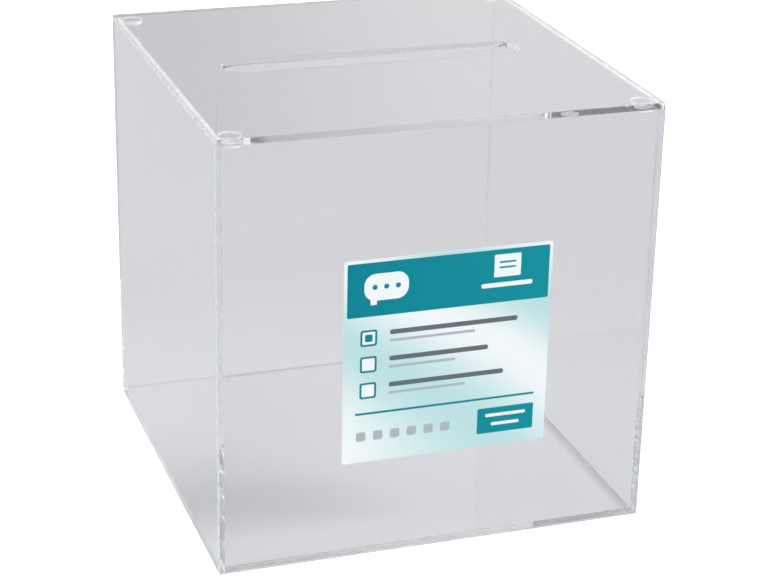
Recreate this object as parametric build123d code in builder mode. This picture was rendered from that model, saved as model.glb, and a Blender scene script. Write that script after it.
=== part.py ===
from build123d import *
import os

# A clear counter-top ballot box: a bonded box of clear sheet under a loose slotted lid.
# Millimetres. +Z is up, +X is to the right of someone facing the front, and the front
# faces -Y. The origin is on the table, under the middle of the box.

# The whole box, outside, with its lid on
box_width = 210
box_depth = 210
box_height = 210

# The sheet that each group of pieces is cut from
wall_sheet = 3
base_sheet = 3
lid_sheet = 3

# Edges are flame polished, which rounds them a little
polished_edge = 0.3
lid_corner_radius = 1

# The posting slot in the middle of the lid
slot_length = 150
slot_width = 20

# The discs under the lid that keep it from sliding off the walls
disc_diameter = 10
disc_thickness = 2
disc_clearance = 0.5

# The square label on the front wall
label_width = 100
label_height = 100
label_thickness = 0.2
label_corner_radius = 1
label_offset = 3
label_bottom_height = 48.5

# Worked out from the sizes above
wall_height = box_height - lid_sheet
inside_width = box_width - 2 * wall_sheet
inside_depth = box_depth - 2 * wall_sheet
disc_place_x = inside_width / 2 - disc_clearance - disc_diameter / 2
disc_place_y = inside_depth / 2 - disc_clearance - disc_diameter / 2

os.makedirs("parts", exist_ok=True)

# Front wall: full width, so that it covers the ends of the side walls
with BuildPart() as front_wall:
    with BuildSketch(Plane.XZ.offset(inside_depth / 2)):
        Rectangle(box_width, wall_height, align=(Align.CENTER, Align.MIN))
    extrude(amount=wall_sheet)
    outer_face = front_wall.faces().sort_by(Axis.Y)[0]
    fillet(outer_face.edges(), radius=polished_edge)
front_wall.part.label = "front_wall"
export_step(front_wall.part, "parts/front_wall.step")

# Back wall: the same sheet as the front wall, turned to face the back
with BuildPart() as back_wall:
    with BuildSketch(Plane.XZ.offset(-inside_depth / 2)):
        Rectangle(box_width, wall_height, align=(Align.CENTER, Align.MIN))
    extrude(amount=-wall_sheet)
    outer_face = back_wall.faces().sort_by(Axis.Y)[-1]
    fillet(outer_face.edges(), radius=polished_edge)
back_wall.part.label = "back_wall"
export_step(back_wall.part, "parts/back_wall.step")

# Left wall: between the front and back walls, with its two long outer edges polished
with BuildPart() as left_wall:
    with BuildSketch(Plane.YZ.offset(-inside_width / 2)):
        Rectangle(inside_depth, wall_height, align=(Align.CENTER, Align.MIN))
    extrude(amount=-wall_sheet)
    outer_face = left_wall.faces().sort_by(Axis.X)[0]
    fillet(outer_face.edges().filter_by(Axis.Y), radius=polished_edge)
left_wall.part.label = "left_wall"
export_step(left_wall.part, "parts/left_wall.step")

# Right wall: the left wall's twin
with BuildPart() as right_wall:
    with BuildSketch(Plane.YZ.offset(inside_width / 2)):
        Rectangle(inside_depth, wall_height, align=(Align.CENTER, Align.MIN))
    extrude(amount=wall_sheet)
    outer_face = right_wall.faces().sort_by(Axis.X)[-1]
    fillet(outer_face.edges().filter_by(Axis.Y), radius=polished_edge)
right_wall.part.label = "right_wall"
export_step(right_wall.part, "parts/right_wall.step")

# Base plate: let in between the walls, flush with their lower edges
with BuildPart() as base_plate:
    with BuildSketch(Plane.XY):
        Rectangle(inside_width, inside_depth)
    extrude(amount=base_sheet)
base_plate.part.label = "base_plate"
export_step(base_plate.part, "parts/base_plate.step")

# Lid: lies loose on the walls, with a round-ended slot for folded papers
with BuildPart() as lid:
    with BuildSketch(Plane.XY.offset(wall_height)):
        RectangleRounded(box_width, box_depth, radius=lid_corner_radius)
        SlotOverall(slot_length, slot_width, mode=Mode.SUBTRACT)
    extrude(amount=lid_sheet)
    upper_and_lower_rims = lid.edges().group_by(Axis.Z)[0] + lid.edges().group_by(Axis.Z)[-1]
    fillet(upper_and_lower_rims, radius=polished_edge)
lid.part.label = "lid"
export_step(lid.part, "parts/lid.step")

# Locating discs: glued under the lid's corners, just inside the walls
corners = {
    "front_left": (-1, -1),
    "front_right": (1, -1),
    "back_left": (-1, 1),
    "back_right": (1, 1),
}
for corner, (side_x, side_y) in corners.items():
    disc_plane = Plane(origin=(side_x * disc_place_x, side_y * disc_place_y, wall_height))
    with BuildPart() as locating_disc:
        with BuildSketch(disc_plane):
            Circle(disc_diameter / 2)
        extrude(amount=-disc_thickness)
        lower_rim = locating_disc.edges().sort_by(Axis.Z)[0]
        fillet(lower_rim, radius=polished_edge)
    locating_disc.part.label = f"locating_disc_{corner}"
    export_step(locating_disc.part, f"parts/{locating_disc.part.label}.step")

# Front label: a thin printed square stuck to the outside of the front wall
label_plane = Plane(
    origin=(label_offset, -box_depth / 2, label_bottom_height + label_height / 2),
    x_dir=(1, 0, 0),
    z_dir=(0, -1, 0),
)
with BuildPart() as front_label:
    with BuildSketch(label_plane):
        RectangleRounded(label_width, label_height, radius=label_corner_radius)
    extrude(amount=label_thickness)
front_label.part.label = "front_label"
export_step(front_label.part, "parts/front_label.step")
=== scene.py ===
import math

import bmesh
import bpy
from bpy.props import FloatProperty, FloatVectorProperty, IntProperty, PointerProperty
from mathutils import Matrix, Vector


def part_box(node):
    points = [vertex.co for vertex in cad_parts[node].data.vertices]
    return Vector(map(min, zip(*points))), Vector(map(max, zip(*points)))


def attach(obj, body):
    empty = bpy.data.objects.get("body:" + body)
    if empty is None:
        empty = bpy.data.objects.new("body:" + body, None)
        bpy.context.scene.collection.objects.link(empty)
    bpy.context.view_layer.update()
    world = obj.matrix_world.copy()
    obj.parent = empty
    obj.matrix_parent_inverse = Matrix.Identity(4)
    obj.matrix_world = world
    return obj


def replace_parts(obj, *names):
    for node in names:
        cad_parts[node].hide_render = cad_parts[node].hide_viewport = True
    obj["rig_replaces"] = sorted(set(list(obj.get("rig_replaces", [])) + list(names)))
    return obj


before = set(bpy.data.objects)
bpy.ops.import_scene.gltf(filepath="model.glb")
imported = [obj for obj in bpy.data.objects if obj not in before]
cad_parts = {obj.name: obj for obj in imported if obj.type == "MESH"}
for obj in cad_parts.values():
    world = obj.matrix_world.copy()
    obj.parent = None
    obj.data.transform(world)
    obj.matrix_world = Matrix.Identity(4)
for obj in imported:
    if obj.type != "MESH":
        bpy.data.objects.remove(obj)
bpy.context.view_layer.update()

bl_info = {
    "name": "Clear ballot box",
    "version": (1, 0, 0),
    "blender": (4, 5, 0),
    "location": "3D View > Sidebar > Ballot box",
    "description": "Makes a clear acrylic ballot box with a loose slotted lid and a printed front label",
    "category": "Object",
}

MM = 0.001


def linear(hex_colour):
    """Turns an sRGB hex colour such as #0F8C93 into linear red, green and blue."""
    channels = [int(hex_colour[i:i + 2], 16) / 255 for i in (1, 3, 5)]
    return tuple(c / 12.92 if c <= 0.04045 else ((c + 0.055) / 1.055) ** 2.4 for c in channels)


def node_box(node):
    """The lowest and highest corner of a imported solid, in metres."""
    low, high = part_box(node)
    return low.copy(), high.copy()


# Settings that a user would change


class BallotBoxSheet(bpy.types.PropertyGroup):
    """The clear sheet that the walls, base, lid and discs are cut from."""

    polish_radius: FloatProperty(
        name="Polished edge", description="Radius that flame polishing leaves on a cut edge",
        default=0.3 * MM, min=0.0, unit="LENGTH",
    )
    polish_steps: IntProperty(
        name="Edge steps", description="Facets across a polished edge", default=4, min=1, max=12,
    )
    bond_depth: FloatProperty(
        name="Bond depth", description="How far cement lets one sheet into its neighbour",
        default=0.02 * MM, min=0.0, unit="LENGTH",
    )
    lid_gap: FloatProperty(
        name="Lid gap", description="Film of air between the loose lid and the walls",
        default=0.03 * MM, min=0.0, unit="LENGTH",
    )
    tint: FloatVectorProperty(
        name="Sheet tint", description="Faint grey that light takes on in one sheet",
        subtype="COLOR", size=3, min=0.0, max=1.0, default=linear("#FAFAFB"),
    )
    edge_tint: FloatVectorProperty(
        name="Edge tint", description="Colour of the sheet seen through its polished edge",
        subtype="COLOR", size=3, min=0.0, max=1.0, default=linear("#E8E9EA"),
    )
    # On the hazy edges this white is partly a painted highlight.
    haze_and_highlight_tint: FloatVectorProperty(
        name="Haze tint", description="Colour of the whitish haze in edges and joints",
        subtype="COLOR", size=3, min=0.0, max=1.0, default=linear("#F8F9F9"),
    )


class BallotBoxLabel(bpy.types.PropertyGroup):
    """The printed label on the front wall."""

    wall_gap: FloatProperty(
        name="Adhesive", description="Film of adhesive between the label and the wall",
        default=0.02 * MM, min=0.0, unit="LENGTH",
    )
    card: FloatVectorProperty(
        name="Film", description="White of the label film",
        subtype="COLOR", size=3, min=0.0, max=1.0, default=linear("#E4E9EA"),
    )
    wash: FloatVectorProperty(
        name="Pale wash", description="Pale aqua of the background wash",
        subtype="COLOR", size=3, min=0.0, max=1.0, default=linear("#B1D3D4"),
    )
    ink: FloatVectorProperty(
        name="Teal ink", description="Strong teal of the printed blocks",
        subtype="COLOR", size=3, min=0.0, max=1.0, default=linear("#007C8A"),
    )
    grey: FloatVectorProperty(
        name="Grey ink", description="Grey of the small printed marks",
        subtype="COLOR", size=3, min=0.0, max=1.0, default=linear("#5E6A70"),
    )


class BallotBoxStage(bpy.types.PropertyGroup):
    """The floor, light and camera around the box."""

    floor_tone: FloatVectorProperty(
        name="Floor", description="Colour of the floor beside the box",
        subtype="COLOR", size=3, min=0.0, max=1.0, default=linear("#FAFAFA"),
    )
    paper_tone: FloatVectorProperty(
        name="Floor in the box", description="Colour of the floor seen through the box and lighting it",
        subtype="COLOR", size=3, min=0.0, max=1.0, default=linear("#A6A7AA"),
    )
    light_strength: FloatProperty(
        name="Studio light", description="Brightness of the soft light all round",
        default=0.92, min=0.0,
    )
    key_strength: FloatProperty(
        name="Key light", description="Strength of the soft light from the front right",
        default=2.5, min=0.0,
    )
    key_spread: FloatProperty(
        name="Key light spread", description="Angle that the key light fills, which softens its shadows",
        default=math.radians(22), subtype="ANGLE",
    )
    camera_place: FloatVectorProperty(
        name="Camera", description="Where the camera stands", subtype="XYZ", unit="LENGTH",
        size=3, default=(-0.318, -0.943, 0.497),
    )
    camera_target: FloatVectorProperty(
        name="Looks at", description="The point in the middle of the picture", subtype="XYZ", unit="LENGTH",
        size=3, default=(0.0059, -0.0079, 0.0915),
    )
    camera_roll: FloatProperty(
        name="Roll", description="Turn of the camera about its own line of sight",
        default=math.radians(1.27), subtype="ANGLE",
    )
    lens: FloatProperty(
        name="Lens", description="Focal length for a 36 mm wide sensor",
        default=100.25, min=1.0, unit="CAMERA",
    )


# Materials


# Cast acrylic sheet bends light a little less than window glass.
ACRYLIC_IOR = 1.49
# What a lamp's light keeps at a face of the sheet, at a polished or hazy edge or a joint, and
# at a sawn edge.
LAMP_THROUGH_FACE = "#FFFFFF"
LAMP_THROUGH_EDGE = "#F0F1F2"
LAMP_THROUGH_SAWN = "#202122"
# How much each surface blurs what is seen in it and through it. The face doesn't at all.
FACE_ROUGHNESS = 0.0
EDGE_ROUGHNESS = 0.02
HAZE_ROUGHNESS = 0.04
SAWN_ROUGHNESS = 0.35
# How clear each surface is, from white haze at 0 to 1. Hazy edges and joints change in patches,
# so they have a least and a most. The hazy edges' white is partly a painted highlight.
FACE_CLEARNESS = 1.0
EDGE_CLEARNESS = 0.98
SAWN_CLEARNESS = 0.8
HAZY_HIGHLIGHT_CLEARNESS = (0.0, 0.3)
JOINT_CLEARNESS = (0.96, 1.0)
SAWN_TINT = linear("#EBEDEF")
# The unevenness of each surface: its size, how many times finer unevenness is added to it, and
# its strength and height. The face has waves a few micrometres high, which bend reflections a
# little, a polished edge has ripples of the cut, and a sawn edge has saw marks. Hazy edges and
# joints rise and fall in the same patches in which their clearness changes.
FACE_WAVES = (60 * MM, 1.0, 0.02, 1 * MM)
EDGE_RIPPLES = (0.5 * MM, 2.0, 0.015, 0.02 * MM)
SAW_MARKS = (0.3 * MM, 2.0, 0.4, 0.05 * MM)
HAZY_HIGHLIGHT_PATCHES = (3 * MM, 1.0, 0.02, 0.02 * MM)
JOINT_PATCHES = (9 * MM, 1.0, 0.02, 0.02 * MM)
# Most of a noise texture lies between these two values.
NOISE_LOW = 0.35
NOISE_HIGH = 0.65
# The numbers of a Mix node's sockets for two colours and for the colour that it makes.
MIX_FIRST = 6
MIX_SECOND = 7
MIX_RESULT = 2


def add_node(tree, kind, links=(), **settings):
    """Adds a shader node, sets its properties, and sets or links its inputs by name or number."""
    node = tree.nodes.new(kind)
    for key, value in settings.items():
        if hasattr(node, key):
            setattr(node, key, value)
        else:
            raise ValueError(f"{kind} has no setting {key}")
    for socket, value in links:
        if isinstance(value, bpy.types.NodeSocket):
            tree.links.new(value, node.inputs[socket])
        else:
            node.inputs[socket].default_value = value
    return node


def new_material(name):
    """An empty node material, its tree and its output node."""
    material = bpy.data.materials.new(name)
    material.use_nodes = True
    tree = material.node_tree
    tree.nodes.clear()
    return material, tree, add_node(tree, "ShaderNodeOutputMaterial")


def uneven_surface(tree, size, detail, strength, height):
    """Unevenness of a given size: the pattern itself, and the normals that it bends."""
    place = add_node(tree, "ShaderNodeTexCoord")
    pattern = add_node(tree, "ShaderNodeTexNoise", (
        ("Vector", place.outputs["Object"]),
        ("Scale", 1 / size),
        ("Detail", detail),
    ))
    bump = add_node(tree, "ShaderNodeBump", (
        ("Strength", strength),
        ("Distance", height),
        ("Height", pattern.outputs["Fac"]),
    ))
    return pattern.outputs["Fac"], bump.outputs["Normal"]


def clear_sheet_surface(tree, output, tint, roughness, clearness, lamp_through, normal):
    """Acrylic that bends light as far as it is clear, is white haze for the rest, and lets lamps through."""
    acrylic = add_node(tree, "ShaderNodeBsdfPrincipled", (
        ("Base Color", (*tint, 1.0)),
        ("Roughness", roughness),
        ("IOR", ACRYLIC_IOR),
        ("Transmission Weight", clearness),
        ("Normal", normal),
    ))
    lamp_light = add_node(tree, "ShaderNodeBsdfTransparent", (("Color", (*linear(lamp_through), 1.0)),))
    rays = add_node(tree, "ShaderNodeLightPath")
    mix = add_node(tree, "ShaderNodeMixShader", (
        (0, rays.outputs["Is Shadow Ray"]),
        (1, acrylic.outputs[0]),
        (2, lamp_light.outputs[0]),
    ))
    tree.links.new(mix.outputs[0], output.inputs["Surface"])


def acrylic_sheet_material():
    """Cast acrylic, face of the sheet: optically clear, with the long shallow waves of a cast surface."""
    sheet = bpy.context.scene.ballot_box_sheet
    material, tree, output = new_material("cast_acrylic_sheet")
    _, normal = uneven_surface(tree, *FACE_WAVES)
    clear_sheet_surface(tree, output, sheet.tint, FACE_ROUGHNESS, FACE_CLEARNESS, LAMP_THROUGH_FACE, normal)
    return material


def acrylic_edge_material():
    """Cast acrylic, cut edge: glossy from the flame, with fine ripples of the cut still in it."""
    sheet = bpy.context.scene.ballot_box_sheet
    material, tree, output = new_material("flame_polished_acrylic_edge")
    _, normal = uneven_surface(tree, *EDGE_RIPPLES)
    clear_sheet_surface(
        tree, output, sheet.edge_tint, EDGE_ROUGHNESS, EDGE_CLEARNESS, LAMP_THROUGH_EDGE, normal,
    )
    return material


def hazy_highlight_edge_material():
    """Cast acrylic, left-hand edges, side walls' tops and discs' rims: white with haze, in patches, partly a
    painted highlight where they catch the light.
    """
    return patchy_material("hazy_highlight_acrylic_edge", HAZY_HIGHLIGHT_PATCHES, HAZY_HIGHLIGHT_CLEARNESS)


def cemented_joint_material():
    """Cast acrylic, cemented joint: clear where the cement has run, a little whitish where it hasn't."""
    return patchy_material("cemented_acrylic_joint", JOINT_PATCHES, JOINT_CLEARNESS)


def patchy_material(name, patches, clearness_range):
    """Acrylic whose clearness changes in patches, from a least to a most."""
    sheet = bpy.context.scene.ballot_box_sheet
    material, tree, output = new_material(name)
    pattern, normal = uneven_surface(tree, *patches)
    least_clear, most_clear = clearness_range
    clearness = add_node(tree, "ShaderNodeMapRange", (
        ("Value", pattern),
        ("From Min", NOISE_LOW),
        ("From Max", NOISE_HIGH),
        ("To Min", least_clear),
        ("To Max", most_clear),
    )).outputs["Result"]
    clear_sheet_surface(
        tree, output, sheet.haze_and_highlight_tint, HAZE_ROUGHNESS, clearness, LAMP_THROUGH_EDGE, normal,
    )
    return material


def sawn_edge_material():
    """Cast acrylic, sawn edge that wasn't polished: frosted, so that it blurs and blocks light."""
    material, tree, output = new_material("sawn_acrylic_edge")
    _, normal = uneven_surface(tree, *SAW_MARKS)
    clear_sheet_surface(tree, output, SAWN_TINT, SAWN_ROUGHNESS, SAWN_CLEARNESS, LAMP_THROUGH_SAWN, normal)
    return material


# The adhesive behind the label: the size of its clouds, how much finer cloudiness is added to
# them, and the two whites between which they change.
CLOUD_SIZE = 3 * MM
CLOUD_DETAIL = 3.0
BACKING_LIGHT = linear("#FAFCFC")
BACKING_DARK = linear("#EEF2F3")
BACKING_ROUGHNESS = 0.5


def backing_material():
    """White backing of the label's film, which shows through the wall and at the film's edges."""
    material, tree, output = new_material("white_label_backing")
    place = add_node(tree, "ShaderNodeTexCoord")
    clouds = add_node(tree, "ShaderNodeTexNoise", (
        ("Vector", place.outputs["Object"]),
        ("Scale", 1 / CLOUD_SIZE),
        ("Detail", CLOUD_DETAIL),
    ))
    tone = add_node(tree, "ShaderNodeMix", (
        ("Factor", clouds.outputs["Fac"]),
        (MIX_FIRST, (*BACKING_LIGHT, 1.0)),
        (MIX_SECOND, (*BACKING_DARK, 1.0)),
    ), data_type="RGBA")
    backing = add_node(tree, "ShaderNodeBsdfPrincipled", (
        ("Base Color", tone.outputs[MIX_RESULT]),
        ("Roughness", BACKING_ROUGHNESS),
    ))
    tree.links.new(backing.outputs[0], output.inputs["Surface"])
    return material


def printed_block_group():
    """A node group that prints one rounded block of ink over the colour below it."""
    group = bpy.data.node_groups.new("printed_block", "ShaderNodeTree")
    for name, kind in (
        ("Place", "NodeSocketVector"), ("Centre", "NodeSocketVector"), ("Core", "NodeSocketVector"),
        ("Corner", "NodeSocketFloat"), ("Below", "NodeSocketColor"), ("Ink", "NodeSocketColor"),
    ):
        group.interface.new_socket(name, in_out="INPUT", socket_type=kind)
    group.interface.new_socket("Print", in_out="OUTPUT", socket_type="NodeSocketColor")
    given = add_node(group, "NodeGroupInput").outputs
    from_centre = add_node(group, "ShaderNodeVectorMath", (
        (0, given["Place"]), (1, given["Centre"]),
    ), operation="SUBTRACT")
    one_quarter = add_node(group, "ShaderNodeVectorMath", (
        (0, from_centre.outputs[0]),
    ), operation="ABSOLUTE")
    from_core = add_node(group, "ShaderNodeVectorMath", (
        (0, one_quarter.outputs[0]), (1, given["Core"]),
    ), operation="SUBTRACT")
    beyond_core = add_node(group, "ShaderNodeVectorMath", (
        (0, from_core.outputs[0]), (1, (0.0, 0.0, 0.0)),
    ), operation="MAXIMUM")
    distance = add_node(group, "ShaderNodeVectorMath", ((0, beyond_core.outputs[0]),), operation="LENGTH")
    inside = add_node(group, "ShaderNodeMath", (
        (0, distance.outputs["Value"]), (1, given["Corner"]),
    ), operation="LESS_THAN")
    colour = add_node(group, "ShaderNodeMix", (
        ("Factor", inside.outputs[0]), (MIX_FIRST, given["Below"]), (MIX_SECOND, given["Ink"]),
    ), data_type="RGBA")
    add_node(group, "NodeGroupOutput", ((0, colour.outputs[MIX_RESULT]),))
    return group


# The label's print, a generic one with no words. Each block has its place across and up
# from the label's lower left corner, its width and height and its corner radius, in
# millimetres, and its ink.
HEADER_BLOCKS = (
    (50, 85.5, 97, 26, 0.8, "teal"),
    # A folded slip over a slot
    (78, 90.5, 13, 11, 0.6, "white"),
    (78, 92.2, 8, 0.9, 0.3, "teal"),
    (78, 89.6, 8, 0.9, 0.3, "teal"),
    (78, 81.2, 25, 2.2, 1.0, "white"),
    # A speech bubble with three dots
    (20, 86.5, 21, 13, 5.5, "white"),
    (14, 80.5, 3, 5, 0.3, "white"),
    (14.5, 86.5, 2.4, 2.4, 1.1, "teal"),
    (20, 86.5, 2.4, 2.4, 1.1, "teal"),
    (25.5, 86.5, 2.4, 2.4, 1.1, "teal"),
)
# Three rows to tick: how far up the middle of each is, and how long its longer bar is.
ROW_HEIGHTS = (62, 49, 36)
ROW_LENGTHS = (62, 48, 56)
# A row's tick box and tick: how far across their middle is, and each square's size, corner
# radius and ink.
TICK_PLACE = 12
TICK_BOX = ((8, 1.2, "teal"), (6, 0.6, "white"))
TICK = (3.6, 0.6, "teal")
# A row's two bars: how far across they start, and each one's share of the row's length, height
# over the row's middle, thickness, corner radius and ink.
BARS_START = 22
ROW_BARS = ((1, 1.9, 2.4, 1.1, "grey"), (2 / 3, -2.2, 1.3, 0.6, "pale grey"))
FOOTER_BLOCKS = (
    (50, 24.5, 88, 1.1, 0.5, "teal"),
    (80, 13, 28, 13, 0.8, "teal"),
    (80, 15.6, 20, 1.6, 0.7, "white"),
    (80, 11, 14, 1.6, 0.7, "white"),
)
# The first of the footer's squares as a block, how many there are and how far apart.
FOOTER_SQUARE = (9, 13, 4.6, 4.6, 1, "pale grey")
FOOTER_SQUARES = 6
FOOTER_SQUARE_PITCH = 8.2


def print_blocks():
    """All printed blocks, from the lowest layer to the highest."""
    blocks = list(HEADER_BLOCKS)
    for i, (height, length) in enumerate(zip(ROW_HEIGHTS, ROW_LENGTHS)):
        squares = (*TICK_BOX, TICK) if i == 0 else TICK_BOX
        for size, corner, ink in squares:
            blocks.append((TICK_PLACE, height, size, size, corner, ink))
        for share, rise, thick, corner, ink in ROW_BARS:
            bar = length * share
            blocks.append((BARS_START + bar / 2, height + rise, bar, thick, corner, ink))
    blocks.extend(FOOTER_BLOCKS)
    first_across, *square = FOOTER_SQUARE
    for i in range(FOOTER_SQUARES):
        blocks.append((first_across + i * FOOTER_SQUARE_PITCH, *square))
    return blocks


# The distance in millimetres between two waves of the pale wash, straight across the label.
# Measured that way, the diagonal waves of a wave texture of scale 1 lie 0.628 apart.
WASH_WAVE = 110
DIAGONAL_WAVES = 0.628
WASH_DISTORTION = 5.0
WASH_DISTORTION_SCALE = 1.2
# The teal turns a little lighter towards the label's right edge, so many millimetres away.
TEAL_AT_RIGHT = linear("#098693")
TEAL_SPAN = 100
PALE_GREY = linear("#A2AEB2")
# Satin film: a soft and weak shine.
FILM_ROUGHNESS = 0.4
FILM_SHINE = 0.12


def label_print_material(low):
    """Satin label film printed in teal and grey, with a pale aqua wash of soft waves."""
    settings = bpy.context.scene.ballot_box_label
    material, tree, output = new_material("printed_label_film")
    coordinates = add_node(tree, "ShaderNodeTexCoord")
    # Millimetres across and up from the label's lower left corner.
    place = add_node(tree, "ShaderNodeVectorMath", (
        (0, coordinates.outputs["Object"]),
        (1, (1 / MM, 0.0, 1 / MM)),
        (2, (-low.x / MM, 0.0, -low.z / MM)),
    ), operation="MULTIPLY_ADD")
    waves = add_node(tree, "ShaderNodeTexWave", (
        ("Vector", place.outputs[0]),
        ("Scale", DIAGONAL_WAVES / WASH_WAVE),
        ("Distortion", WASH_DISTORTION),
        ("Detail", 0.0),
        ("Detail Scale", WASH_DISTORTION_SCALE),
    ), bands_direction="DIAGONAL", wave_profile="SIN")
    wash = add_node(tree, "ShaderNodeMix", (
        ("Factor", waves.outputs["Fac"]),
        (MIX_FIRST, (*settings.card, 1.0)),
        (MIX_SECOND, (*settings.wash, 1.0)),
    ), data_type="RGBA")
    parts = add_node(tree, "ShaderNodeSeparateXYZ", ((0, place.outputs[0]),))
    across = add_node(tree, "ShaderNodeMath", (
        (0, parts.outputs["X"]), (1, 1 / TEAL_SPAN),
    ), operation="MULTIPLY")
    teal = add_node(tree, "ShaderNodeMix", (
        ("Factor", across.outputs[0]),
        (MIX_FIRST, (*settings.ink, 1.0)),
        (MIX_SECOND, (*TEAL_AT_RIGHT, 1.0)),
    ), data_type="RGBA")
    inks = {
        "teal": teal.outputs[MIX_RESULT],
        "white": (*settings.card, 1.0),
        "grey": (*settings.grey, 1.0),
        "pale grey": (*PALE_GREY, 1.0),
    }
    group = printed_block_group()
    below = wash.outputs[MIX_RESULT]
    for across_mm, up_mm, wide, tall, corner, ink in print_blocks():
        block = add_node(tree, "ShaderNodeGroup", (
            ("Place", place.outputs[0]),
            ("Centre", (across_mm, 0.0, up_mm)),
            ("Core", (wide / 2 - corner, 0.0, tall / 2 - corner)),
            ("Corner", corner),
            ("Below", below),
            ("Ink", inks[ink]),
        ), node_tree=group)
        below = block.outputs["Print"]
    film = add_node(tree, "ShaderNodeBsdfPrincipled", (
        ("Base Color", below),
        ("Roughness", FILM_ROUGHNESS),
        ("Specular IOR Level", FILM_SHINE),
    ))
    tree.links.new(film.outputs[0], output.inputs["Surface"])
    return material


def material_named(name, maker):
    """Finds a material by name, or makes it the first time."""
    return bpy.data.materials.get(name) or maker()


# Modelling helpers


# Two places closer than this are the same place.
NEAR = 0.001 * MM
# A flat face points along its axis at least this much.
FLAT_FACE = 0.999
# A left-hand edge points to the left at least this much.
LEFT_FACE = 0.7
# The axis across a sheet, by which way the sheet stands.
ACROSS_SIDE_WALL = 0
ACROSS_FRONT_WALL = 1
ACROSS_LYING_SHEET = 2
# The profile of a bevel that is part of a circle.
ROUND_PROFILE = 0.5
# Faces that meet at less than this angle are shaded as one.
SMOOTH_ANGLE = math.radians(30)
# The most that large faces can count for in the shading of their rounded edges.
LARGE_FACE_WEIGHT = 100


def work_on(piece):
    """Deselects everything else and makes the piece active."""
    bpy.ops.object.select_all(action="DESELECT")
    piece.select_set(True)
    bpy.context.view_layer.objects.active = piece


def pick(piece, kind, passes):
    """In edit mode, selects only the vertices, edges or faces of the piece that pass a test."""
    bpy.ops.mesh.select_all(action="DESELECT")
    bpy.ops.mesh.select_mode(type=kind)
    mesh = bmesh.from_edit_mesh(piece.data)
    parts = {"VERT": mesh.verts, "EDGE": mesh.edges, "FACE": mesh.faces}[kind]
    for part in parts:
        if passes(part):
            part.select_set(True)
    bmesh.update_edit_mesh(piece.data)


def sheet_block(name, low, high):
    """A block of sheet between two corners, still with sharp edges."""
    bpy.ops.object.select_all(action="DESELECT")
    bpy.ops.mesh.primitive_cube_add(size=1, location=(low + high) / 2, scale=high - low)
    block = bpy.context.object
    block.name = name
    block.data.name = name
    bpy.ops.object.transform_apply(location=True, rotation=True, scale=True)
    return block


def round_edges(piece, passes, radius, steps):
    """Rounds the edges that pass a test."""
    work_on(piece)
    bpy.ops.object.mode_set(mode="EDIT")
    pick(piece, "EDGE", passes)
    bpy.ops.mesh.bevel(
        offset=radius, offset_type="OFFSET", segments=steps, profile=ROUND_PROFILE, affect="EDGES",
    )
    bpy.ops.object.mode_set(mode="OBJECT")


def apply_modifier(piece, kind, **settings):
    """Adds a modifier with its settings and applies it."""
    work_on(piece)
    modifier = piece.modifiers.new(kind.lower(), kind)
    for key, value in settings.items():
        setattr(modifier, key, value)
    bpy.ops.object.modifier_apply(modifier=modifier.name)


def no_face(face):
    """Passes no face."""
    return False


def any_face(face):
    """Passes every face."""
    return True


def left_highlight_face(face):
    """Passes the faces of left-hand edges, whose hazy white is partly a painted highlight."""
    return face.normal.x < -LEFT_FACE


def top_or_left_highlight_face(face):
    """Passes the faces of top edges and of left-hand ones, whose hazy white is partly a painted highlight.
    """
    return left_highlight_face(face) or face.normal.z > FLAT_FACE


def bottom_face(face):
    """Passes the faces of lower edges."""
    return face.normal.z < -FLAT_FACE


def side_face(face):
    """Passes the faces of left-hand and right-hand edges."""
    return abs(face.normal.x) > FLAT_FACE


def front_or_back_face(face):
    """Passes the faces of front and back edges."""
    return abs(face.normal.y) > FLAT_FACE


def finish_sheet(piece, across, is_sawn=no_face, is_joint=no_face, is_hazy_highlight=left_highlight_face):
    """Gives a clear piece its face and edge materials, and keeps its flat faces truly flat."""
    kinds = (
        ("sawn_acrylic_edge", sawn_edge_material, is_sawn),
        ("cemented_acrylic_joint", cemented_joint_material, is_joint),
        ("cast_acrylic_sheet", acrylic_sheet_material, lambda face: abs(face.normal[across]) > FLAT_FACE),
        ("hazy_highlight_acrylic_edge", hazy_highlight_edge_material, is_hazy_highlight),
        ("flame_polished_acrylic_edge", acrylic_edge_material, any_face),
    )
    for name, maker, _ in kinds:
        piece.data.materials.append(material_named(name, maker))
    for face in piece.data.polygons:
        face.material_index = next(i for i, (_, _, is_kind) in enumerate(kinds) if is_kind(face))
    work_on(piece)
    bpy.ops.object.shade_smooth_by_angle(angle=SMOOTH_ANGLE)
    apply_modifier(piece, "WEIGHTED_NORMAL", keep_sharp=True, weight=LARGE_FACE_WEIGHT)


def twin_of(piece, name):
    """A copy of the piece with its own mesh, turned half round about the middle of the box."""
    work_on(piece)
    bpy.ops.object.duplicate()
    twin = bpy.context.object
    twin.name = name
    twin.data.name = name
    bpy.ops.object.mode_set(mode="EDIT")
    bpy.ops.mesh.select_all(action="SELECT")
    bpy.ops.transform.rotate(value=math.pi, orient_axis="Z", center_override=(0, 0, 0))
    bpy.ops.object.mode_set(mode="OBJECT")
    return twin


def stand_for(piece, node, body):
    """Puts a finished piece in a solid's place, on its body."""
    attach(piece, body)
    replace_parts(piece, node)


# Operators


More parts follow.
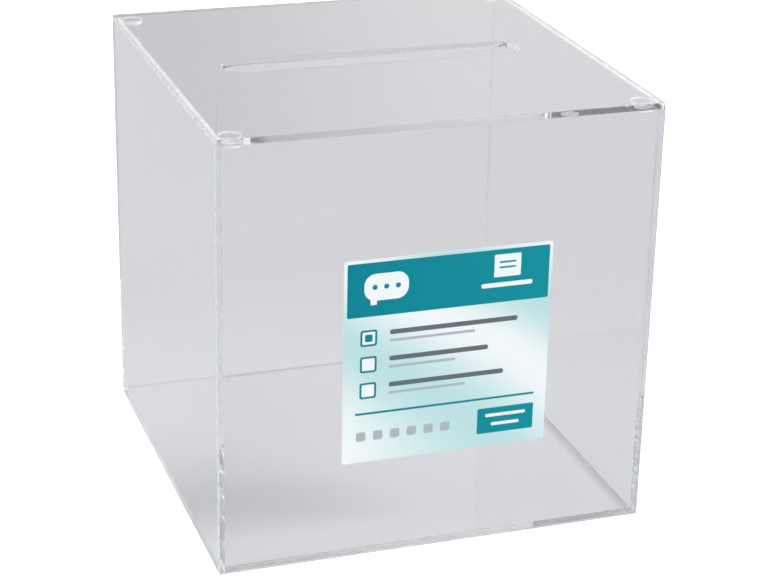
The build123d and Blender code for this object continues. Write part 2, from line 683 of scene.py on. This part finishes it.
class BALLOTBOX_OT_walls(bpy.types.Operator):
    """Make the four clear walls"""

    bl_idname = "ballotbox.walls"
    bl_label = "Walls"

    def execute(self, context):
        sheet = context.scene.ballot_box_sheet
        low, high = node_box("front_wall")
        front = sheet_block("front_wall_sheet", low, high)
        outer = low.y
        round_edges(
            front, lambda edge: all(abs(v.co.y - outer) < NEAR for v in edge.verts),
            sheet.polish_radius, sheet.polish_steps,
        )
        finish_sheet(front, ACROSS_FRONT_WALL, is_sawn=bottom_face)
        back = twin_of(front, "back_wall_sheet")

        low, high = node_box("left_wall")
        low.y -= sheet.bond_depth
        high.y += sheet.bond_depth
        left = sheet_block("left_wall_sheet", low, high)
        outer = low.x
        round_edges(
            left, lambda edge: all(abs(v.co.x - outer) < NEAR for v in edge.verts)
            and abs(edge.verts[0].co.z - edge.verts[1].co.z) < NEAR,
            sheet.polish_radius, sheet.polish_steps,
        )
        finish_sheet(
            left, ACROSS_SIDE_WALL,
            is_sawn=bottom_face, is_joint=front_or_back_face, is_hazy_highlight=top_or_left_highlight_face,
        )
        right = twin_of(left, "right_wall_sheet")
        walls = {"front_wall": front, "back_wall": back, "left_wall": left, "right_wall": right}
        for node, wall in walls.items():
            stand_for(wall, node, "box")
        return {"FINISHED"}


# The rim that the saw and a rub with fine paper leave on the base plate.
SAWN_RIM_RADIUS = 0.1 * MM
SAWN_RIM_STEPS = 2


class BALLOTBOX_OT_base(bpy.types.Operator):
    """Make the base plate that is let in between the walls"""

    bl_idname = "ballotbox.base"
    bl_label = "Base plate"

    def execute(self, context):
        sheet = context.scene.ballot_box_sheet
        low, high = node_box("base_plate")
        bond = Vector((sheet.bond_depth, sheet.bond_depth, 0))
        base = sheet_block("base_plate_sheet", low - bond, high + bond)
        round_edges(
            base, lambda edge: abs(edge.verts[0].co.z - edge.verts[1].co.z) < NEAR,
            SAWN_RIM_RADIUS, SAWN_RIM_STEPS,
        )
        finish_sheet(base, ACROSS_LYING_SHEET, is_sawn=side_face, is_joint=front_or_back_face)
        stand_for(base, "base_plate", "box")
        return {"FINISHED"}


LID_CORNER_RADIUS = 1 * MM
LID_CORNER_STEPS = 6
# The lid's edges that are sharper than this are polished round. The slot's facets aren't.
LID_EDGE_ANGLE = math.radians(40)
SLOT_LENGTH = 150 * MM
SLOT_WIDTH = 20 * MM
SLOT_STEPS = 96
# The block that cuts the slot is this many times as thick as the lid.
CUTTER_REACH = 3


class BALLOTBOX_OT_lid(bpy.types.Operator):
    """Make the loose lid with its round-ended posting slot"""

    bl_idname = "ballotbox.lid"
    bl_label = "Lid"

    def execute(self, context):
        sheet = context.scene.ballot_box_sheet
        low, high = node_box("lid")
        low.z += sheet.lid_gap
        lid = sheet_block("lid_sheet", low, high)
        round_edges(
            lid, lambda edge: abs(edge.verts[0].co.z - edge.verts[1].co.z) > NEAR,
            LID_CORNER_RADIUS, LID_CORNER_STEPS,
        )
        cutter = self.slot_cutter((low + high) / 2, (high.z - low.z) * CUTTER_REACH)
        apply_modifier(lid, "BOOLEAN", operation="DIFFERENCE", solver="EXACT", object=cutter)
        bpy.data.objects.remove(cutter)
        apply_modifier(
            lid, "BEVEL", width=sheet.polish_radius, segments=sheet.polish_steps,
            limit_method="ANGLE", angle_limit=LID_EDGE_ANGLE,
        )
        finish_sheet(lid, ACROSS_LYING_SHEET)
        stand_for(lid, "lid", "lid")
        return {"FINISHED"}

    def slot_cutter(self, centre, height):
        """A round-ended block the size of the slot: a short cylinder, parted down the middle."""
        half_step = math.pi / SLOT_STEPS
        bpy.ops.object.select_all(action="DESELECT")
        # The cylinder is as wide as the slot from flat to flat.
        bpy.ops.mesh.primitive_cylinder_add(
            vertices=SLOT_STEPS, radius=SLOT_WIDTH / 2 / math.cos(half_step), depth=height,
            location=centre, rotation=(0, 0, half_step),
        )
        cutter = bpy.context.object
        bpy.ops.object.transform_apply(location=True, rotation=True, scale=True)
        half_straight = (SLOT_LENGTH - SLOT_WIDTH) / 2
        bpy.ops.object.mode_set(mode="EDIT")
        for side in (-1, 1):
            pick(cutter, "VERT", lambda vertex: (vertex.co.x - centre.x) * side > 0)
            bpy.ops.transform.translate(value=(side * half_straight, 0, 0))
        bpy.ops.object.mode_set(mode="OBJECT")
        return cutter


DISC_STEPS = 64


class BALLOTBOX_OT_discs(bpy.types.Operator):
    """Make the four discs under the lid that keep it in place"""

    bl_idname = "ballotbox.discs"
    bl_label = "Locating discs"

    def execute(self, context):
        sheet = context.scene.ballot_box_sheet
        first = "locating_disc_front_left"
        low, high = node_box(first)
        high.z += sheet.lid_gap + sheet.bond_depth
        size = high - low
        bpy.ops.object.select_all(action="DESELECT")
        bpy.ops.mesh.primitive_cylinder_add(
            vertices=DISC_STEPS, radius=size.x / 2, depth=size.z, location=(low + high) / 2,
        )
        pattern = bpy.context.object
        bpy.ops.object.transform_apply(location=True, rotation=True, scale=True)
        lowest = low.z
        round_edges(
            pattern, lambda edge: all(abs(v.co.z - lowest) < NEAR for v in edge.verts),
            sheet.polish_radius, sheet.polish_steps,
        )
        # The discs' rims are hazy white all round, partly a painted highlight.
        finish_sheet(pattern, ACROSS_LYING_SHEET, is_hazy_highlight=any_face)
        pattern.name = f"{first}_piece"
        pattern.data.name = pattern.name
        stand_for(pattern, first, "lid")
        for corner in ("front_right", "back_left", "back_right"):
            node = f"locating_disc_{corner}"
            place = node_box(node)[0] - low
            work_on(pattern)
            bpy.ops.object.duplicate()
            disc = bpy.context.object
            disc.name = f"{node}_piece"
            disc.data.name = disc.name
            bpy.ops.object.mode_set(mode="EDIT")
            bpy.ops.mesh.select_all(action="SELECT")
            bpy.ops.transform.translate(value=(place.x, place.y, 0))
            bpy.ops.object.mode_set(mode="OBJECT")
            # The copy takes its own solid's place, not the first disc's.
            del disc["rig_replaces"]
            stand_for(disc, node, "lid")
        return {"FINISHED"}


LABEL_CORNER_RADIUS = 1 * MM
LABEL_CORNER_STEPS = 5


class BALLOTBOX_OT_label(bpy.types.Operator):
    """Make the printed label on the front wall"""

    bl_idname = "ballotbox.label"
    bl_label = "Front label"

    def execute(self, context):
        settings = context.scene.ballot_box_label
        low, high = node_box("front_label")
        high.y -= settings.wall_gap
        label = sheet_block("front_label_film", low, high)
        round_edges(
            label, lambda edge: abs(edge.verts[0].co.y - edge.verts[1].co.y) > NEAR,
            LABEL_CORNER_RADIUS, LABEL_CORNER_STEPS,
        )
        label.data.materials.append(label_print_material(low))
        label.data.materials.append(backing_material())
        for face in label.data.polygons:
            face.material_index = 0 if face.normal.y < -FLAT_FACE else 1
        work_on(label)
        bpy.ops.object.shade_smooth_by_angle(angle=SMOOTH_ANGLE)
        stand_for(label, "front_label", "box")
        return {"FINISHED"}


FLOOR_SIZE = 30.0
FLOOR_CELLS = 8
FLOOR_GAP = 0.2 * MM
# Painted light: the paper glows though it is no lamp. The glow is strongest under the box, out to the core's
# radius, and weaker around it, beyond the rim's radius, which lightens the box's shadow. A little more glow
# is added where the camera sees the paper beside the box, which washes out shadows there.
PAINTED_GLOW_UNDER_BOX = 0.268
PAINTED_GLOW_CORE = 0.1
PAINTED_GLOW_RIM = 0.28
PAINTED_GLOW_AROUND = 0.198
PAINTED_GLOW_SEEN = 0.1
# Towards the back left, where the studio is dim.
DIM_SIDE = (-0.34, 0.86, 0.38)
# Brightness against how far a direction points to the dim side, from -1, away from it, to 1.
LIGHT_TONES = ((-1.0, 0.6), (0.0, 0.6), (0.6, 0.78), (0.76, 0.84), (0.83, 0.54), (0.93, 0.3), (1.0, 0.2))
LIGHT_PEAK = 0.84
# Bright windows in the studio, at the front right and high on the left: where each is, the
# angles from its middle to the end of its even part and to its rim, in degrees, and how
# bright it is.
WINDOWS = (
    ((1.25, -1.33, 1.6), 10, 19, 2.4),
    ((-0.7, -0.25, 1.0), 12, 28, 2.4),
)
# The key light shines from here towards the middle of the box's foot.
KEY_LIGHT_PLACE = (1.65, -1.2, 1.4)
SENSOR_WIDTH = 36
# The camera sees nothing that is nearer than this, in metres.
NEAREST_SEEN = 0.01
PATH_LENGTH = 96


class BALLOTBOX_OT_stage(bpy.types.Operator):
    """Make the floor, the studio light and the camera"""

    bl_idname = "ballotbox.stage"
    bl_label = "Floor, light and camera"

    def execute(self, context):
        self.floor(context)
        self.sky(context)
        self.key_light(context)
        self.camera(context)
        self.light_paths(context)
        return {"FINISHED"}

    def floor(self, context):
        """A pale floor, far larger than the picture, with a hair of air between it and the box."""
        stage = context.scene.ballot_box_stage
        bpy.ops.object.select_all(action="DESELECT")
        bpy.ops.mesh.primitive_grid_add(
            x_subdivisions=FLOOR_CELLS, y_subdivisions=FLOOR_CELLS,
            size=FLOOR_SIZE, location=(0, 0, -FLOOR_GAP),
        )
        floor = bpy.context.object
        floor.name = "floor"
        bpy.ops.object.transform_apply(location=True, rotation=True, scale=True)
        floor.data.materials.append(self.floor_material(stage))

    def floor_material(self, stage):
        """Paper with a painted glow: white beside the box, as if cut out, and pale grey through it."""
        material, tree, output = new_material("studio_paper")
        rays = add_node(tree, "ShaderNodeLightPath")
        tone = add_node(tree, "ShaderNodeMix", (
            ("Factor", rays.outputs["Is Camera Ray"]),
            (MIX_FIRST, (*stage.paper_tone, 1.0)),
            (MIX_SECOND, (*stage.floor_tone, 1.0)),
        ), data_type="RGBA")
        paper = add_node(tree, "ShaderNodeBsdfDiffuse", (("Color", tone.outputs[MIX_RESULT]),))
        # The painted glow, which no lamp gives, is strongest under the box, where it lightens the box's
        # shadow.
        place = add_node(tree, "ShaderNodeTexCoord")
        from_box = add_node(tree, "ShaderNodeVectorMath", (
            (0, place.outputs["Object"]),
        ), operation="LENGTH")
        under_box = add_node(tree, "ShaderNodeMapRange", (
            ("Value", from_box.outputs["Value"]),
            ("From Min", PAINTED_GLOW_CORE),
            ("From Max", PAINTED_GLOW_RIM),
            ("To Min", PAINTED_GLOW_UNDER_BOX),
            ("To Max", PAINTED_GLOW_AROUND),
        ), interpolation_type="SMOOTHSTEP")
        painted_glow = add_node(tree, "ShaderNodeMath", (
            (0, rays.outputs["Is Camera Ray"]), (1, PAINTED_GLOW_SEEN), (2, under_box.outputs["Result"]),
        ), operation="MULTIPLY_ADD")
        glow = add_node(tree, "ShaderNodeEmission", (("Strength", painted_glow.outputs[0]),))
        both = add_node(tree, "ShaderNodeAddShader", ((0, paper.outputs[0]), (1, glow.outputs[0])))
        tree.links.new(both.outputs[0], output.inputs["Surface"])
        return material

    def sky(self, context):
        """Soft light all round, dim at the back left with a bright ring about it, and two windows."""
        stage = context.scene.ballot_box_stage
        world = bpy.data.worlds.new("studio")
        world.use_nodes = True
        context.scene.world = world
        tree = world.node_tree
        tree.nodes.clear()
        place = add_node(tree, "ShaderNodeTexCoord")
        to_dim_side = add_node(tree, "ShaderNodeVectorMath", (
            (0, place.outputs["Generated"]),
            (1, DIM_SIDE),
        ), operation="DOT_PRODUCT")
        spread = add_node(tree, "ShaderNodeMapRange", (
            ("Value", to_dim_side.outputs["Value"]),
            ("From Min", -1.0),
            ("From Max", 1.0),
        ))
        ramp = add_node(tree, "ShaderNodeValToRGB", (("Fac", spread.outputs["Result"]),))
        stops = ramp.color_ramp
        stops.elements.remove(stops.elements[0])
        for i, (side, tone) in enumerate(LIGHT_TONES):
            stop = stops.elements[0] if i == 0 else stops.elements.new(side)
            stop.position = (side + 1) / 2
            stop.color = (tone / LIGHT_PEAK, tone / LIGHT_PEAK, tone / LIGHT_PEAK, 1.0)
        around = add_node(tree, "ShaderNodeBackground", (
            ("Color", ramp.outputs["Color"]),
            ("Strength", stage.light_strength * LIGHT_PEAK),
        ))
        light = around.outputs[0]
        for side, core, rim, glow in WINDOWS:
            to_window = add_node(tree, "ShaderNodeVectorMath", (
                (0, place.outputs["Generated"]),
                (1, tuple(Vector(side).normalized())),
            ), operation="DOT_PRODUCT")
            window = add_node(tree, "ShaderNodeMapRange", (
                ("Value", to_window.outputs["Value"]),
                ("From Min", math.cos(math.radians(rim))),
                ("From Max", math.cos(math.radians(core))),
                ("To Max", glow),
            ), interpolation_type="SMOOTHSTEP")
            pane = add_node(tree, "ShaderNodeBackground", (("Strength", window.outputs["Result"]),))
            light = add_node(tree, "ShaderNodeAddShader", ((0, light), (1, pane.outputs[0]))).outputs[0]
        output = add_node(tree, "ShaderNodeOutputWorld")
        tree.links.new(light, output.inputs["Surface"])

    def key_light(self, context):
        """A soft, far light at the front right, which throws the label's shadow into the box."""
        stage = context.scene.ballot_box_stage
        lamp = bpy.data.lights.new("key_light", "SUN")
        lamp.energy = stage.key_strength
        lamp.angle = stage.key_spread
        # Shadow rays already carry its light through the clear sheets, so rays that leave
        # the sheets don't count it a second time.
        lamp.cycles.use_multiple_importance_sampling = False
        key = bpy.data.objects.new("key_light", lamp)
        context.scene.collection.objects.link(key)
        place = Vector(KEY_LIGHT_PLACE)
        key.matrix_world = Matrix.Translation(place) @ (-place).to_track_quat("-Z", "Y").to_matrix().to_4x4()

    def camera(self, context):
        """The photograph's view of the box."""
        stage = context.scene.ballot_box_stage
        lens = bpy.data.cameras.new("camera")
        lens.sensor_width = SENSOR_WIDTH
        lens.lens = stage.lens
        lens.clip_start = NEAREST_SEEN
        camera = bpy.data.objects.new("camera", lens)
        context.scene.collection.objects.link(camera)
        place = Vector(stage.camera_place)
        sight = Vector(stage.camera_target) - place
        turn = sight.to_track_quat("-Z", "Y").to_matrix().to_4x4()
        camera.matrix_world = Matrix.Translation(place) @ turn @ Matrix.Rotation(stage.camera_roll, 4, "Z")
        context.scene.camera = camera

    def light_paths(self, context):
        """Long paths, for light that crosses up to ten sheets and bounces in them, and plain colours."""
        cycles = context.scene.cycles
        cycles.max_bounces = PATH_LENGTH
        cycles.transmission_bounces = PATH_LENGTH
        cycles.glossy_bounces = PATH_LENGTH
        cycles.transparent_max_bounces = PATH_LENGTH
        cycles.blur_glossy = 0.0
        context.scene.view_settings.view_transform = "Standard"


class BALLOTBOX_PT_panel(bpy.types.Panel):
    """The ballot box's operators and settings"""

    bl_idname = "BALLOTBOX_PT_panel"
    bl_label = "Ballot box"
    bl_space_type = "VIEW_3D"
    bl_region_type = "UI"
    bl_category = "Ballot box"

    def draw(self, context):
        for operator in OPERATORS:
            self.layout.operator(operator.bl_idname)
        for name in SETTINGS:
            group = getattr(context.scene, name)
            box = self.layout.box()
            for key in group.__annotations__:
                box.prop(group, key)


OPERATORS = (
    BALLOTBOX_OT_walls,
    BALLOTBOX_OT_base,
    BALLOTBOX_OT_lid,
    BALLOTBOX_OT_discs,
    BALLOTBOX_OT_label,
    BALLOTBOX_OT_stage,
)
SETTINGS = {
    "ballot_box_sheet": BallotBoxSheet,
    "ballot_box_label": BallotBoxLabel,
    "ballot_box_stage": BallotBoxStage,
}


def register():
    for group in SETTINGS.values():
        bpy.utils.register_class(group)
    for name, group in SETTINGS.items():
        setattr(bpy.types.Scene, name, PointerProperty(type=group))
    for operator in OPERATORS:
        bpy.utils.register_class(operator)
    bpy.utils.register_class(BALLOTBOX_PT_panel)


def unregister():
    bpy.utils.unregister_class(BALLOTBOX_PT_panel)
    for operator in reversed(OPERATORS):
        bpy.utils.unregister_class(operator)
    for name, group in SETTINGS.items():
        delattr(bpy.types.Scene, name)
        bpy.utils.unregister_class(group)


def main():
    register()
    for operator in OPERATORS:
        group, name = operator.bl_idname.split(".")
        getattr(getattr(bpy.ops, group), name)()


if __name__ == "__main__":
    main()
